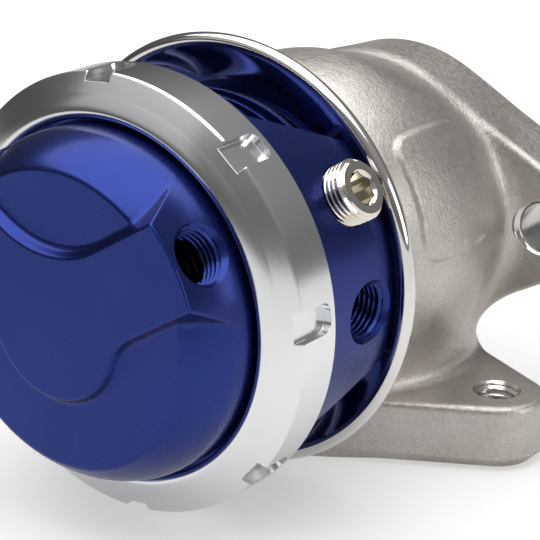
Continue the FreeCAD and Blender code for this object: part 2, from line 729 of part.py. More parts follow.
def make_spring(name, radius, wire, turns):
    """An open coil spring between the piston's floor and the cap's roof."""
    body = new_body(name)
    sketch = body.newObject("Sketcher::SketchObject", f"{name}_section")
    sketch.AttachmentSupport = [(origin_plane(body, "XY_Plane"), "")]
    sketch.MapMode = "FlatFace"
    low = "cap_dome + running_gap"
    centre = FreeCAD.Vector(value(radius), value(f"{low} + {wire}"), 0)
    sketch.addGeometry(Part.Circle(centre, FreeCAD.Vector(0, 0, 1), value(wire)), False)
    for kind, text in (("DistanceX", radius), ("DistanceY", f"{low} + {wire}")):
        tie = sketch.addConstraint(Sketcher.Constraint(kind, -1, 1, 0, 3, value(text)))
        sketch.setExpression(f"Constraints[{tie}]", cells(f"({text}) * 1mm"))
    tie = sketch.addConstraint(Sketcher.Constraint("Radius", 0, value(wire)))
    sketch.setExpression(f"Constraints[{tie}]", cells(f"{wire} * 1mm"))
    coil = body.newObject("PartDesign::AdditiveHelix", "coil")
    coil.Profile = sketch
    coil.ReferenceAxis = (sketch, ["V_Axis"])
    coil.Mode = "height-turns-angle"
    height = f"piston_floor - cap_dome - 2 * {wire} - 2 * running_gap"
    bind(coil, Height=f"({height}) * 1mm", Turns=turns)
    sketch.Visibility = False
    doc.recompute()


def make_small_discs():
    """Washers, plates and seals on the valve's stem."""
    bore = "stem_thread_radius + 0.1"
    make_disc("lower_plate", bore, "plate_radius", "piston_base + diaphragm + 0.1", "plate_base")
    make_disc("stem_washer", bore, "washer_radius", "piston_floor - washer", "piston_floor")
    seal = "hub_top + ring_width + 0.1"
    make_disc("stem_seal", "stem_radius + running_gap", "seal_pocket_radius - 0.05", seal,
              f"{seal} + seal_length")
    make_disc("seal_retainer", "stem_radius + 0.6", "seal_pocket_radius - 0.05", "hub_top",
              "hub_top + ring_width")


def check_and_write():
    doc.recompute()
    os.makedirs("parts", exist_ok=True)
    bad = [o.Name for o in doc.Objects if {"Invalid", "Error"} & set(o.State)]
    if bad:
        raise RuntimeError(f"failed objects: {bad}")
    for body in MADE:
        shape = body.Shape
        if shape.isNull() or not shape.isValid():
            raise RuntimeError(f"bad shape: {body.Label}")
        box = shape.optimalBoundingBox()
        print(body.Label, len(shape.Solids), round(shape.Volume),
              [round(v, 1) for v in (box.XMin, box.YMin, box.ZMin, box.XMax, box.YMax, box.ZMax)])
        shape.exportStep(f"parts/{body.Label}.step")


make_valve_housing()
make_seat_ring()
make_guide_bush()
make_flat_gasket("housing_gasket", "body_base + gasket + shield_sheet")
make_heat_shield()
make_flat_gasket("body_gasket", "body_base")
make_actuator_body()
make_body_screws()
make_port_plug()
make_poppet_valve()
make_small_discs()
make_piston()
make_diaphragm()
make_stem_nut()
make_spring("outer_spring", "outer_spring_radius", "outer_spring_wire", "outer_spring_turns")
make_spring("inner_spring", "inner_spring_radius", "inner_spring_wire", "inner_spring_turns")
make_top_cap()
make_locking_collar()
check_and_write()
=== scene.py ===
import json
import math

import bmesh
import bpy
import numpy as np
from mathutils import Matrix, Vector


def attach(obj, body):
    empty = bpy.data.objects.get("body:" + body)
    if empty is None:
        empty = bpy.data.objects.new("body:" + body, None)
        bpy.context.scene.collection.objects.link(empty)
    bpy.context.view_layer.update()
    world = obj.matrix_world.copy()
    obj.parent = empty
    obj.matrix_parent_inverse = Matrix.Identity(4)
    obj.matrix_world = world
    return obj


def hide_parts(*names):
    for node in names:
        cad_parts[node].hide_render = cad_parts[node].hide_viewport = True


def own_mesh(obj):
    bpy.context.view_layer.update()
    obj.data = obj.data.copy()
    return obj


# An external wastegate. The pieces in view are modelled again as smooth meshes that stand in for
# their CAD nodes, and every piece gets its finish. A stage, a camera and lamps follow.
#
# Shapes are worked out in millimetres in a bench frame: x across, s the station along the valve's
# axis from the cap's crown (0) to the inlet gasket face (LENGTH), and z up from that axis.

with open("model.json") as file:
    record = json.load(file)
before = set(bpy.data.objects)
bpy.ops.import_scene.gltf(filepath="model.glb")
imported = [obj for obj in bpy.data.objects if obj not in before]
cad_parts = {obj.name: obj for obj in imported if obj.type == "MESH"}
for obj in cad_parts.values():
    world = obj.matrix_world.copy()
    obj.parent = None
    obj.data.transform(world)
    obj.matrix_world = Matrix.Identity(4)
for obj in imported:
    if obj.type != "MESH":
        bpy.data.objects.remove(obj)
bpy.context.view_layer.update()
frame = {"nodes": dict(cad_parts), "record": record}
INLET = next(m["pos_m"] for m in frame["record"]["mounts"] if m["name"] == "inlet_port")
LENGTH = 100.0
AXIS_HEIGHT = INLET[2] * 1000
OUTLET_STATION = LENGTH - INLET[1] * 1000
BENCH_ORIGIN = np.array((0, OUTLET_STATION, -AXIS_HEIGHT))

# Sizes that several pieces share, with angles in degrees from +x towards +z.
HALF_PITCH = 37.0
PORT_ROOT, PORT_CREST, PORT_PITCH = 4.35, 5.0, 0.94
PORT_ANGLE, PLUG_ANGLE, BAR_ANGLE = -1.8, 30.4, 31.0
PORT_STATION, CAP_PORT_STATION = 37.0, 6.7
COLLAR_RADIUS, BODY_RADIUS, CAP_RADIUS = 37.0, 35.0, 29.3


def to_frame(points):
    """Bench millimetres to the part's frame in metres."""
    return (np.array(points, float).reshape(-1, 3) - BENCH_ORIGIN) / 1000


def to_bench(points):
    """Metres in the part's frame to bench millimetres."""
    return points * 1000 + BENCH_ORIGIN


# ---------------------------------------------------------------- meshes

def solid(name, points, faces, bench=True):
    """An object in the scene from points and faces; the points are bench ones or metres."""
    mesh = bpy.data.meshes.new(name)
    mesh.from_pydata(to_frame(points).tolist() if bench else np.asarray(points).tolist(), [],
                     [list(map(int, f)) for f in faces])
    mesh.validate()
    piece = bpy.data.objects.new(name, mesh)
    bpy.context.scene.collection.objects.link(piece)
    return piece


def drop(piece):
    """Remove an object and its mesh."""
    mesh = piece.data
    bpy.data.objects.remove(piece)
    bpy.data.meshes.remove(mesh)


def bake(piece):
    """Apply the object's modifiers."""
    graph = bpy.context.evaluated_depsgraph_get()
    made = bpy.data.meshes.new_from_object(piece.evaluated_get(graph))
    old = piece.data
    piece.modifiers.clear()
    piece.data = made
    bpy.data.meshes.remove(old)
    made.name = piece.name
    return piece


def combine(piece, others, how="DIFFERENCE"):
    """Boolean the others into the piece, one after another, and remove them."""
    for other in others:
        tool = piece.modifiers.new("cut", "BOOLEAN")
        tool.operation = how
        tool.solver = "MANIFOLD"
        tool.object = other
        bake(piece)
        if not piece.data.vertices:
            raise RuntimeError(f"{piece.name}: {other.name} left nothing")
        drop(other)
    return piece


def soften(piece, width, angle):
    """Bevel the edges that turn by more than an angle; the width is in millimetres."""
    edge = piece.modifiers.new("edge", "BEVEL")
    edge.width = width / 1000
    edge.segments = 2
    edge.limit_method = "ANGLE"
    edge.angle_limit = math.radians(angle)
    return bake(piece)


def smooth(piece, angle=28.0, weighted=True):
    """Smooth shading with the real edges kept sharp."""
    mesh = piece.data
    mesh.polygons.foreach_set("use_smooth", [True] * len(mesh.polygons))
    mesh.set_sharp_from_angle(angle=math.radians(angle))
    if weighted:
        even = piece.modifiers.new("even", "WEIGHTED_NORMAL")
        even.keep_sharp = True
        bake(piece)
    return piece


def arc(start, end, radius, side, count=16):
    """Points of an arc after start, ending at end; its centre lies on the named side."""
    (x0, y0), (x1, y1) = start, end
    dx, dy = x1 - x0, y1 - y0
    chord = math.hypot(dx, dy)
    rise = math.sqrt(max(radius ** 2 - chord ** 2 / 4, 0))
    sign = 1 if side == "left" else -1
    cx = (x0 + x1) / 2 - dy / chord * rise * sign
    cy = (y0 + y1) / 2 + dx / chord * rise * sign
    a0 = math.atan2(y0 - cy, x0 - cx)
    a1 = math.atan2(y1 - cy, x1 - cx)
    if sign == 1 and a1 < a0:
        a1 += 2 * math.pi
    if sign == -1 and a1 > a0:
        a1 -= 2 * math.pi
    steps = [a0 + (a1 - a0) * k / count for k in range(1, count + 1)]
    return [(cx + radius * math.cos(a), cy + radius * math.sin(a)) for a in steps]


def rounded(corners, count=5):
    """A closed outline whose corners (x, y, radius) are rounded; (x, y) stays sharp."""
    out = []
    total = len(corners)
    for k, corner in enumerate(corners):
        here = np.array(corner[:2], float)
        if len(corner) == 2 or corner[2] <= 0:
            out.append(tuple(here))
            continue
        before = np.array(corners[k - 1][:2], float) - here
        after = np.array(corners[(k + 1) % total][:2], float) - here
        u = before / np.linalg.norm(before)
        v = after / np.linalg.norm(after)
        half = math.acos(max(-1, min(1, float(u @ v)))) / 2
        reach = corner[2] / math.tan(half)
        middle = here + (u + v) / np.linalg.norm(u + v) * corner[2] / math.sin(half)
        first = here + u * reach - middle
        last = here + v * reach - middle
        a0 = math.atan2(first[1], first[0])
        turn = math.atan2(first[0] * last[1] - first[1] * last[0], first @ last)
        for step in range(count + 1):
            a = a0 + turn * step / count
            out.append((middle[0] + corner[2] * math.cos(a), middle[1] + corner[2] * math.sin(a)))
    return out


def circle_through(p, q, radius):
    """Centre of the circle through p and q that lies on the axis side."""
    dx, dy = q[0] - p[0], q[1] - p[1]
    chord = math.hypot(dx, dy)
    rise = math.sqrt(radius ** 2 - chord ** 2 / 4)
    return ((p[0] + q[0]) / 2 - dy / chord * rise, (p[1] + q[1]) / 2 + dx / chord * rise)


def radial(radius, angle, station):
    """The bench point at a radius, at an angle in degrees counted from +x towards +z."""
    a = math.radians(angle)
    return (radius * math.cos(a), station, radius * math.sin(a))


def outward_at(angle):
    """The direction away from the valve's axis at an angle."""
    return radial(1.0, angle, 0.0)


def facing(angle):
    """How a prism that grows outward at an angle is placed; its x runs along the axis."""
    turn = Matrix.Rotation(-math.radians(angle), 3, "Y")
    return lambda x, y, h: tuple(turn @ Vector((h, x, y)))


def lathe(name, profile, count=192, closed=False):
    """Turn an outline of (radius, station) about the valve's axis."""
    area = sum(profile[k - 1][0] * p[1] - p[0] * profile[k - 1][1] for k, p in enumerate(profile))
    if area > 0:
        profile = profile[::-1]
    points, rings = [], []
    for radius, station in profile:
        if radius < 1e-6:
            rings.append([len(points)] * count)
            points.append((0, station, 0))
            continue
        rings.append(list(range(len(points), len(points) + count)))
        for k in range(count):
            a = 2 * math.pi * k / count
            points.append((radius * math.cos(a), station, radius * math.sin(a)))
    faces = []
    last = len(rings)
    for k in range(last if closed or profile[0][0] > 1e-6 else last - 1):
        low, high = rings[k], rings[(k + 1) % last]
        if low[0] == low[1] and high[0] == high[1]:
            continue
        for j in range(count):
            n = (j + 1) % count
            face = [low[j], low[n], high[n], high[j]]
            faces.append([v for i, v in enumerate(face) if v != face[i - 1]])
    return solid(name, points, faces)


def prism(name, outline, low, high, place):
    """Extrude a flat outline; place(x, y, h) gives the bench point."""
    count = len(outline)
    area = sum(outline[k - 1][0] * p[1] - p[0] * outline[k - 1][1] for k, p in enumerate(outline))
    if area < 0:
        outline = outline[::-1]
    points = [place(x, y, low) for x, y in outline] + [place(x, y, high) for x, y in outline]
    faces = [list(range(count))[::-1], list(range(count, 2 * count))]
    for k in range(count):
        n = (k + 1) % count
        faces.append([k, n, n + count, k + count])
    return outward(solid(name, points, faces))


def outward(piece):
    """Turn every face of a closed mesh outward."""
    bm = bmesh.new()
    bm.from_mesh(piece.data)
    bmesh.ops.recalc_face_normals(bm, faces=bm.faces)
    bm.to_mesh(piece.data)
    bm.free()
    return piece


def spun(name, reach, low, high, base, direction, rows, count=96):
    """A closed surface round an axis: reach(angle, height) is its radius from low to high. The
    axis starts at base and runs along direction, both in the bench frame."""
    direction = np.array(direction, float)
    direction /= np.linalg.norm(direction)
    side = np.cross(direction, (0, 1, 0) if abs(direction[1]) < 0.9 else (1, 0, 0))
    side /= np.linalg.norm(side)
    other = np.cross(direction, side)
    base = np.array(base, float)
    heights = np.linspace(low, high, rows)
    angles = np.linspace(0, 2 * math.pi, count, endpoint=False)
    points = []
    for h in heights:
        r = reach(angles, np.full(count, h))
        ring = (base + direction * h + np.outer(r * np.cos(angles), side)
                + np.outer(r * np.sin(angles), other))
        points.extend(ring.tolist())
    points.append((base + direction * low).tolist())
    points.append((base + direction * high).tolist())
    faces = []
    for k in range(rows - 1):
        for j in range(count):
            n = (j + 1) % count
            faces.append([k * count + j, k * count + n, (k + 1) * count + n, (k + 1) * count + j])
    bottom, top = rows * count, rows * count + 1
    for j in range(count):
        n = (j + 1) % count
        faces.append([bottom, n, j])
        faces.append([top, (rows - 1) * count + j, (rows - 1) * count + n])
    return outward(solid(name, points, faces))


def wave(angle, height, pitch):
    """The flank of a right-hand thread: 0 at the root and 1 at the crest."""
    phase = (height / pitch - angle / (2 * math.pi)) % 1.0
    return np.clip(1.25 * (1 - np.abs(2 * phase - 1)) - 0.125, 0, 1)


def threaded_hole(name, start, angle, station, length, mouth, root=None, taper=0.02):
    """A cutter for a side port: radial from start, threaded unless root is its crest, and opened
    out at its mouth."""
    depth = PORT_CREST - (PORT_ROOT if root is None else root)

    def reach(turn, height):
        r = PORT_CREST - depth * wave(turn, height, PORT_PITCH) + (height - length) * taper
        return np.maximum(r, np.minimum(mouth + height - length, mouth))
    rows = int(length / PORT_PITCH * 10) + 12
    return spun(name, reach, 0.0, length + 0.8, radial(start, angle, station), outward_at(angle),
                rows)


# ---------------------------------------------------------------- implicit shapes

def merge(a, b, k):
    """Smooth union of two distances."""
    h = np.maximum(k - np.abs(a - b), 0) / k
    return np.minimum(a, b) - h * h * k / 4


def trim(a, b, k):
    """Smooth intersection of two distances."""
    return -merge(-a, -b, k)


def net(name, shape, low, high, step, relax=2):
    """Mesh the zero surface of shape(x, s, z) with a surface net, then settle it on the surface."""
    low = np.array(low, float)
    count = [int(math.ceil((high[i] - low[i]) / step)) + 1 for i in range(3)]
    axes = [low[i] + np.arange(count[i]) * step for i in range(3)]
    field = np.empty(count)
    for i, x in enumerate(axes[0]):
        s, z = np.meshgrid(axes[1], axes[2], indexing="ij")
        field[i] = shape(np.full(s.shape, x), s, z)
    inside = field < 0
    corner = [(a, b, c) for a in (0, 1) for b in (0, 1) for c in (0, 1)]
    shifted = [inside[a:count[0] - 1 + a, b:count[1] - 1 + b, c:count[2] - 1 + c]
               for a, b, c in corner]
    mixed = np.logical_or.reduce(shifted) & ~np.logical_and.reduce(shifted)
    index = np.full(mixed.shape, -1)
    index[mixed] = np.arange(mixed.sum())
    cells = np.argwhere(mixed)
    values = np.stack([field[cells[:, 0] + a, cells[:, 1] + b, cells[:, 2] + c]
                       for a, b, c in corner], 1)
    total = np.zeros((len(cells), 3))
    hits = np.zeros(len(cells))
    for i, p in enumerate(corner):
        for j, q in enumerate(corner):
            if j > i and sum(abs(p[n] - q[n]) for n in range(3)) == 1:
                crossed = (values[:, i] < 0) != (values[:, j] < 0)
                gap = values[:, i] - values[:, j]
                t = np.where(crossed, values[:, i] / np.where(crossed, gap, 1), 0)
                spot = np.array(p) + t[:, None] * (np.array(q) - np.array(p))
                total += np.where(crossed[:, None], spot, 0)
                hits += crossed
    points = low + (cells + total / hits[:, None]) * step
    faces = []
    for axis in range(3):
        u, v = [n for n in range(3) if n != axis]
        if axis == 1:
            u, v = v, u
        a = np.take(inside, range(count[axis] - 1), axis)
        b = np.take(inside, range(1, count[axis]), axis)
        for flip, change in ((False, a & ~b), (True, ~a & b)):
            spots = np.argwhere(change)
            keep = ((spots[:, u] > 0) & (spots[:, v] > 0) & (spots[:, u] < count[u] - 1)
                    & (spots[:, v] < count[v] - 1))
            spots = spots[keep]
            quad = []
            for du, dv in ((-1, -1), (0, -1), (0, 0), (-1, 0)):
                cell = spots.copy()
                cell[:, u] += du
                cell[:, v] += dv
                quad.append(index[cell[:, 0], cell[:, 1], cell[:, 2]])
            quad = np.stack(quad[::-1] if flip else quad, 1)
            faces.append(quad)
    faces = np.concatenate(faces)

    def settle(p):
        e = step * 0.05
        d = shape(p[:, 0], p[:, 1], p[:, 2])
        grad = np.stack([(shape(*(p + e * np.eye(3)[n]).T) - shape(*(p - e * np.eye(3)[n]).T))
                         / (2 * e) for n in range(3)], 1)
        size = np.maximum((grad ** 2).sum(1), 0.05)
        move = -(d / size)[:, None] * grad
        length = np.linalg.norm(move, axis=1)
        return p + move * np.minimum(1, step * 0.6 / np.maximum(length, 1e-9))[:, None]

    ends = np.concatenate([faces[:, [k, (k + 1) % 4]] for k in range(4)])
    for _ in range(relax):
        pull = np.zeros_like(points)
        near = np.zeros(len(points))
        np.add.at(pull, ends[:, 0], points[ends[:, 1]])
        np.add.at(near, ends[:, 0], 1)
        points = points + 0.5 * (pull / np.maximum(near, 1)[:, None] - points)
        points = settle(points)
    points = settle(settle(points))
    return solid(name, points, faces)


def read(items, name, width=1, kind=float):
    """One property of every item, with a row for each item where it has a width."""
    out = np.empty(len(items) * width, kind)
    items.foreach_get(name, out)
    return out.reshape(-1, width) if width > 1 else out


def shade(piece, shape):
    """Give the corners that lie on the implicit shape its exact normals."""
    on_shape, same_side, probe = 0.02, 0.72, 0.05
    mesh = piece.data
    ends = read(mesh.loops, "vertex_index", kind=np.int32)
    spots = to_bench(read(mesh.vertices, "co", 3))
    off = np.abs(shape(*spots.T))
    slope = np.stack([shape(*(spots + probe * step).T) - shape(*(spots - probe * step).T)
                      for step in np.eye(3)], 1)
    slope /= np.maximum(np.linalg.norm(slope, axis=1), 1e-9)[:, None]
    own = read(mesh.corner_normals, "vector", 3)
    corners = read(mesh.polygons, "loop_total", kind=np.int32)
    flat = np.repeat(read(mesh.polygons, "normal", 3), corners, axis=0)
    exact = slope[ends]
    use = (off[ends] < on_shape) & ((exact * flat).sum(1) > same_side)
    own[use] = exact[use]
    mesh.normals_split_custom_set(own.tolist())
    return piece


def mark_cuts(piece, shape):
    """Set the machined attribute on the faces that were cut into the implicit shape."""
    on_shape = 0.06
    mesh = piece.data
    cut = np.abs(shape(*to_bench(read(mesh.polygons, "center", 3)).T)) > on_shape
    mesh.attributes.new("machined", "FLOAT", "FACE").data.foreach_set("value", cut.astype(float))
    return piece


def barrel_of(radius):
    """The shape of a plain cylinder about the valve's axis."""
    return lambda x, s, z: np.hypot(x, z) - radius


# ---------------------------------------------------------------- locking collar

NOTCH_COUNT, NOTCH_ANGLE, NOTCH_FLOOR = 8, 4.5, 35.5
NOTCH_OUTLINE = [(12.0, 2.5), (12.0, -2.5), (23.4, -2.5, 1.8), (23.4, 2.5, 1.8)]
LIP_START, LIP_CREST, LIP_INNER = (34.0, 14.65), (31.1, 13.3), (29.8, 14.1)


def make_collar():
    """A ring with a curved front face, a rolled lip and eight notches for a pin spanner."""
    ring = rounded([(LIP_INNER[0], 16.2), (33.3, 16.2), (33.3, 25.0, 0.2), (36.4, 25.0, 0.15),
                    (COLLAR_RADIUS, 24.4, 0.15), (COLLAR_RADIUS, 16.45), (36.55, 16.0), LIP_START]
                   + arc(LIP_START, LIP_CREST, 12.0, "right", 10)
                   + arc(LIP_CREST, LIP_INNER, 1.3, "right", 10))
    collar = lathe("collar_ring", ring, 360, closed=True)
    outline = rounded(NOTCH_OUTLINE, 8)
    combine(collar, [prism(f"notch_{k}", outline, NOTCH_FLOOR, COLLAR_RADIUS + 3.0,
                           facing(NOTCH_ANGLE + 360 / NOTCH_COUNT * k))
                     for k in range(NOTCH_COUNT)])
    soften(collar, 0.16, 50)
    return shade(smooth(collar, 30), barrel_of(COLLAR_RADIUS))


# ---------------------------------------------------------------- cap

BAR_HALF_WIDTH, BAR_REACH, BAR_DRAFT = 13.3, 45.0, math.radians(25.5)
LOBE_RADIUS, LOBE_BLEND, VEE_BLEND = 18.6, 2.6, 13.0
CROWN_EDGE, CAP_SHOULDER, SHOULDER_CURVE = (24.5, 2.0), (CAP_RADIUS, 10.6), 16.0
RIDGE_ROOT_STATION, CAP_REAR = 13.1, 17.2
DOME_EDGE, RIDGE_EDGE, RIDGE_BLEND = 0.35, 0.45, 0.8
TABLE_SIZE, TABLE_STEP = 37.4, 0.2


def ridge_outline():
    """Right half of the cap's raised figure at its root, from the lower lobe up to the vee."""
    angle, width, lobe = math.radians(BAR_ANGLE), BAR_HALF_WIDTH, LOBE_RADIUS
    blend, vee, reach = LOBE_BLEND, VEE_BLEND, BAR_REACH
    bend = math.asin((width + blend) / (lobe + blend))
    far = (lobe + blend) * math.cos(bend)
    ca, sa = math.cos(angle), math.sin(angle)
    start = (0.0, -lobe)
    touch = (lobe * math.cos(angle - bend), lobe * math.sin(angle - bend))
    root = (far * ca + width * sa, far * sa - width * ca)
    end_low = (reach * ca + width * sa, reach * sa - width * ca)
    end_high = (reach * ca - width * sa, reach * sa + width * ca)
    high = (vee * sa, (width + vee) / ca - vee * ca)
    top = (0.0, (width + vee) / ca - vee)
    return ([start] + arc(start, touch, lobe, "left", 60) + arc(touch, root, blend, "right", 24)
            + [end_low, end_high, high] + arc(high, top, vee, "right", 40))


def outline_distance(x, z, outline):
    """Signed distance to the mirrored outline, negative inside."""
    x = np.abs(x)
    best = np.full(x.shape, 1e9)
    inside = np.zeros(x.shape, bool)
    for (x0, z0), (x1, z1) in zip(outline, outline[1:]):
        ex, ez = x1 - x0, z1 - z0
        wx, wz = x - x0, z - z0
        t = np.clip((wx * ex + wz * ez) / (ex * ex + ez * ez), 0, 1)
        best = np.minimum(best, (wx - t * ex) ** 2 + (wz - t * ez) ** 2)
        if abs(ez) > 1e-12:
            crosses = (z0 <= z) != (z1 <= z)
            inside ^= crosses & (x < x0 + (z - z0) / ez * ex)
    return np.where(inside, -1, 1) * np.sqrt(best)


def ridge_distance():
    """The distance to the ridge's outline as a function of x and z, read from a table."""
    size, step = TABLE_SIZE, TABLE_STEP
    wide = np.arange(0, size, step)
    tall = np.arange(-size, size, step)
    table = outline_distance(*np.meshgrid(wide, tall, indexing="ij"), ridge_outline())

    def distance(x, z):
        x = np.abs(x)
        i = np.clip(np.round(x / step).astype(int), 0, len(wide) - 1)
        j = np.clip(np.round((z - tall[0]) / step).astype(int), 0, len(tall) - 1)
        u = x / step - i
        v = (z - tall[0]) / step - j
        i2 = np.clip(i + np.sign(u).astype(int), 0, len(wide) - 1)
        j2 = np.clip(j + np.sign(v).astype(int), 0, len(tall) - 1)
        u, v = np.abs(u), np.abs(v)
        return ((1 - u) * (1 - v) * table[i, j] + u * (1 - v) * table[i2, j]
                + (1 - u) * v * table[i, j2] + u * v * table[i2, j2])
    return distance


def make_cap():
    """A domed cap with a raised ridge; its port is drilled into the end of one bar."""
    root_distance = ridge_distance()
    cx, cs = circle_through(CROWN_EDGE, CAP_SHOULDER, SHOULDER_CURVE)

    def shape(x, s, z):
        r = np.hypot(x, z)
        dome = np.hypot(np.maximum(r - cx, 0), s - cs) - SHOULDER_CURVE
        base = trim(CROWN_EDGE[1] - s, dome, DOME_EDGE)
        side = ((root_distance(x, z) + (RIDGE_ROOT_STATION - s) * math.tan(BAR_DRAFT))
                * math.cos(BAR_DRAFT))
        body = merge(base, trim(0.0 - s, side, RIDGE_EDGE), RIDGE_BLEND)
        body = trim(body, r - CAP_RADIUS, DOME_EDGE)
        return np.maximum(body, s - CAP_REAR)

    cap = net("cap_figure", shape, (-30.2, -1.0, -30.2), (30.2, 18.2, 30.2), 0.30)
    skirt = lathe("cap_skirt", [(0, 16.6), (32.9, 16.6), (32.9, 19.1), (0, 19.1)], 256)
    combine(cap, [skirt], "UNION")
    hollow = lathe("cap_hollow", [(0, 5.2), (20.5, 5.2), (25.0, 10.2), (25.0, 20.0), (0, 20.0)])
    port = threaded_hole("cap_thread", 19.0, BAR_ANGLE, CAP_PORT_STATION, 10.3, 5.55)
    combine(cap, [hollow, port])
    return shade(smooth(cap, 38, weighted=False), shape)


# ---------------------------------------------------------------- actuator body

FIN_START, FIN_PITCH, FIN_GAP, FIN_COUNT = 28.4, 3.0, 1.8, 5
FIN_ROOT, FIN_CREST = 27.0, 29.2
BODY_BASE = 45.5
BOSS_ANGLE, BOSS_WIDE, BOSS_NARROW = 12.5, math.radians(50.0), math.radians(30.0)
BOSS_FRONT, BOSS_BACK = 26.1, 44.4


def make_actuator():
    """A finned cup with one solid boss for its two ports."""
    profile = [(0, 20.3), (33.0, 20.3), (33.0, 25.5), (34.4, 25.5), (BODY_RADIUS, 26.1),
               (BODY_RADIUS, 27.8), (33.8, FIN_START)]
    for k in range(FIN_COUNT):
        start = FIN_START + FIN_PITCH * k
        profile += rounded([(FIN_ROOT, start), (FIN_ROOT, start + FIN_GAP, 0.4),
                            (FIN_CREST, start + FIN_GAP, 0.15),
                            (FIN_CREST, start + FIN_PITCH, 0.15)], 3)
    profile += [(FIN_ROOT, FIN_START + FIN_PITCH * FIN_COUNT), (FIN_ROOT, BODY_BASE),
                (0, BODY_BASE)]
    body = lathe("actuator_cup", profile, 360)
    wide, narrow = BODY_RADIUS * math.sin(BOSS_WIDE), BODY_RADIUS * math.sin(BOSS_NARROW)
    outline = rounded([(BOSS_FRONT, wide, 0.8), (BOSS_FRONT, -wide, 0.8),
                       (BOSS_BACK, -narrow, 0.8), (BOSS_BACK, narrow, 0.8)], 4)
    boss = prism("boss", outline, 0.0, 40.0, facing(BOSS_ANGLE))
    face = lathe("boss_face", [(0, 20.0), (BODY_RADIUS, 20.0), (BODY_RADIUS, 43.2),
                               (33.8, BOSS_BACK), (0, BOSS_BACK)], 360)
    combine(boss, [face], "INTERSECT")
    combine(body, [boss], "UNION")
    hollow = lathe("spring_chamber", [(0, 19.0), (25.0, 19.0), (25.0, 41.5), (12.5, 41.5),
                                      (10.5, 37.2), (4.6, 37.2), (4.6, 47.0), (0, 47.0)])
    port = threaded_hole("open_thread", 22.0, PORT_ANGLE, PORT_STATION, 12.9, 5.6)
    plugged = threaded_hole("plugged_thread", 22.0, PLUG_ANGLE, PORT_STATION, 12.9, 5.6,
                            root=PORT_CREST, taper=0.0)
    combine(body, [hollow, port, plugged])
    soften(body, 0.2, 60)
    return shade(smooth(body, 30), barrel_of(BODY_RADIUS))


# ---------------------------------------------------------------- port plug

PLUG_START, PLUG_LENGTH, PLUG_MIDDLE, PLUG_TAPER = 29.5, 9.1, 4.66, 0.016
PLUG_END_RADIUS = 4.35
HEX_HALF, HEX_START, HEX_DEPTH, HEX_TURN = 2.4, 4.6, 4.8, 0.2
HEX_CHAMFER, HEX_CHAMFER_START, HEX_MOUTH = 2.6, 4.1, 3.4


def make_plug():
    """A threaded plug with a hexagonal socket."""
    def reach(angle, height):
        turn = np.cos(2 * math.pi * height / PORT_PITCH - angle)
        r = PLUG_MIDDLE - 0.30 * turn - 0.05 * turn * turn * turn + height * PLUG_TAPER
        return np.minimum(r, PLUG_END_RADIUS + PLUG_LENGTH - height)

    def hexagon(angle, height):
        turn = (angle + HEX_TURN) % (math.pi / 3) - math.pi / 6
        chamfer = np.minimum(HEX_CHAMFER + (height - HEX_CHAMFER_START), HEX_MOUTH)
        return np.maximum(HEX_HALF / np.cos(turn), chamfer)
    along = outward_at(PLUG_ANGLE)
    plug = spun("plug_thread", reach, 0.0, PLUG_LENGTH,
                radial(PLUG_START, PLUG_ANGLE, PORT_STATION), along, 260, 128)
    socket = spun("socket", hexagon, 0.0, HEX_DEPTH,
                  radial(PLUG_START + HEX_START, PLUG_ANGLE, PORT_STATION), along, 40)
    combine(plug, [socket])
    return smooth(plug, 40, weighted=False)


# ---------------------------------------------------------------- heat shield

DISH_START, DISH_END, DISH_CURVE = (30.0, 46.3), (35.9, 44.6), 13.0
BEAD_RADIUS, BEAD_CENTRE = 1.35, (36.75, 44.85)
DISH_BACK, BACK_CURVE = (31.0, 47.3), 16.0


def make_shield():
    """A dished disc whose rim is rolled into a bead."""
    bead = [(BEAD_CENTRE[0] + BEAD_RADIUS * math.sin(a),
             BEAD_CENTRE[1] - BEAD_RADIUS * math.cos(a)) for a in np.linspace(-0.6, math.pi, 24)]
    back_start = (BEAD_CENTRE[0], BEAD_CENTRE[1] + BEAD_RADIUS)
    profile = ([(8.0, DISH_START[1]), DISH_START]
               + arc(DISH_START, DISH_END, DISH_CURVE, "right") + bead
               + arc(back_start, DISH_BACK, BACK_CURVE, "left", 8) + [(8.0, DISH_BACK[1])])
    return smooth(lathe("heat_shield_sheet", profile, 360, closed=True), 35)


# ---------------------------------------------------------------- valve housing

NECK, BELLY, TAIL = (25.5, 51.0), (31.4, 70.0), (26.9, LENGTH)
FRONT_CURVE, REAR_CURVE = 33.5, 101.0
FRONT_CENTRE = circle_through(NECK, BELLY, FRONT_CURVE)
REAR_CENTRE = circle_through(BELLY, TAIL, REAR_CURVE)
HOUSING_FRONT, CAST_FRONT, CASTING_TOP = 48.3, 47.0, 33.0
COLUMN_RADIUS, COLUMN_STATION = 26.5, 77.0
OUTLET_RADIUS, OUTLET_EAR, OUTLET_THICKNESS, FOOT_CHAMFER = 25.6, 8.8, 11.8, 2.0
INLET_EAR, INLET_FRONT = 9.5, 87.8
FLANGE_ROUND, CAST_EDGE = 1.6, 1.0
COLUMN_BLEND, OUTLET_BLEND, INLET_BLEND = 3.2, 2.6, 5.0
PAST_FACE = 1.0
VALVE_BORE, BORE_DEPTH, THROAT_RADIUS, THROAT_END, BORE_MOUTH = 19.0, 15.0, 20.4, 25.2, 19.8
M8_RADIUS, M8_DEPTH, M8_PITCH, M8_MOUTH = 4.0, 0.62, 1.25, (4.35, 4.5)
PLAIN_RADIUS, PLAIN_MOUTH = 4.5, (5.0, 5.4)
BOX_FACES = [(0, 1, 3, 2), (4, 6, 7, 5), (0, 4, 5, 1), (2, 3, 7, 6), (0, 2, 6, 4), (1, 5, 7, 3)]
CROWN_SQUASH, TAIL_SQUASH, SQUASH_LENGTH = 1.026, 0.12, 18.0
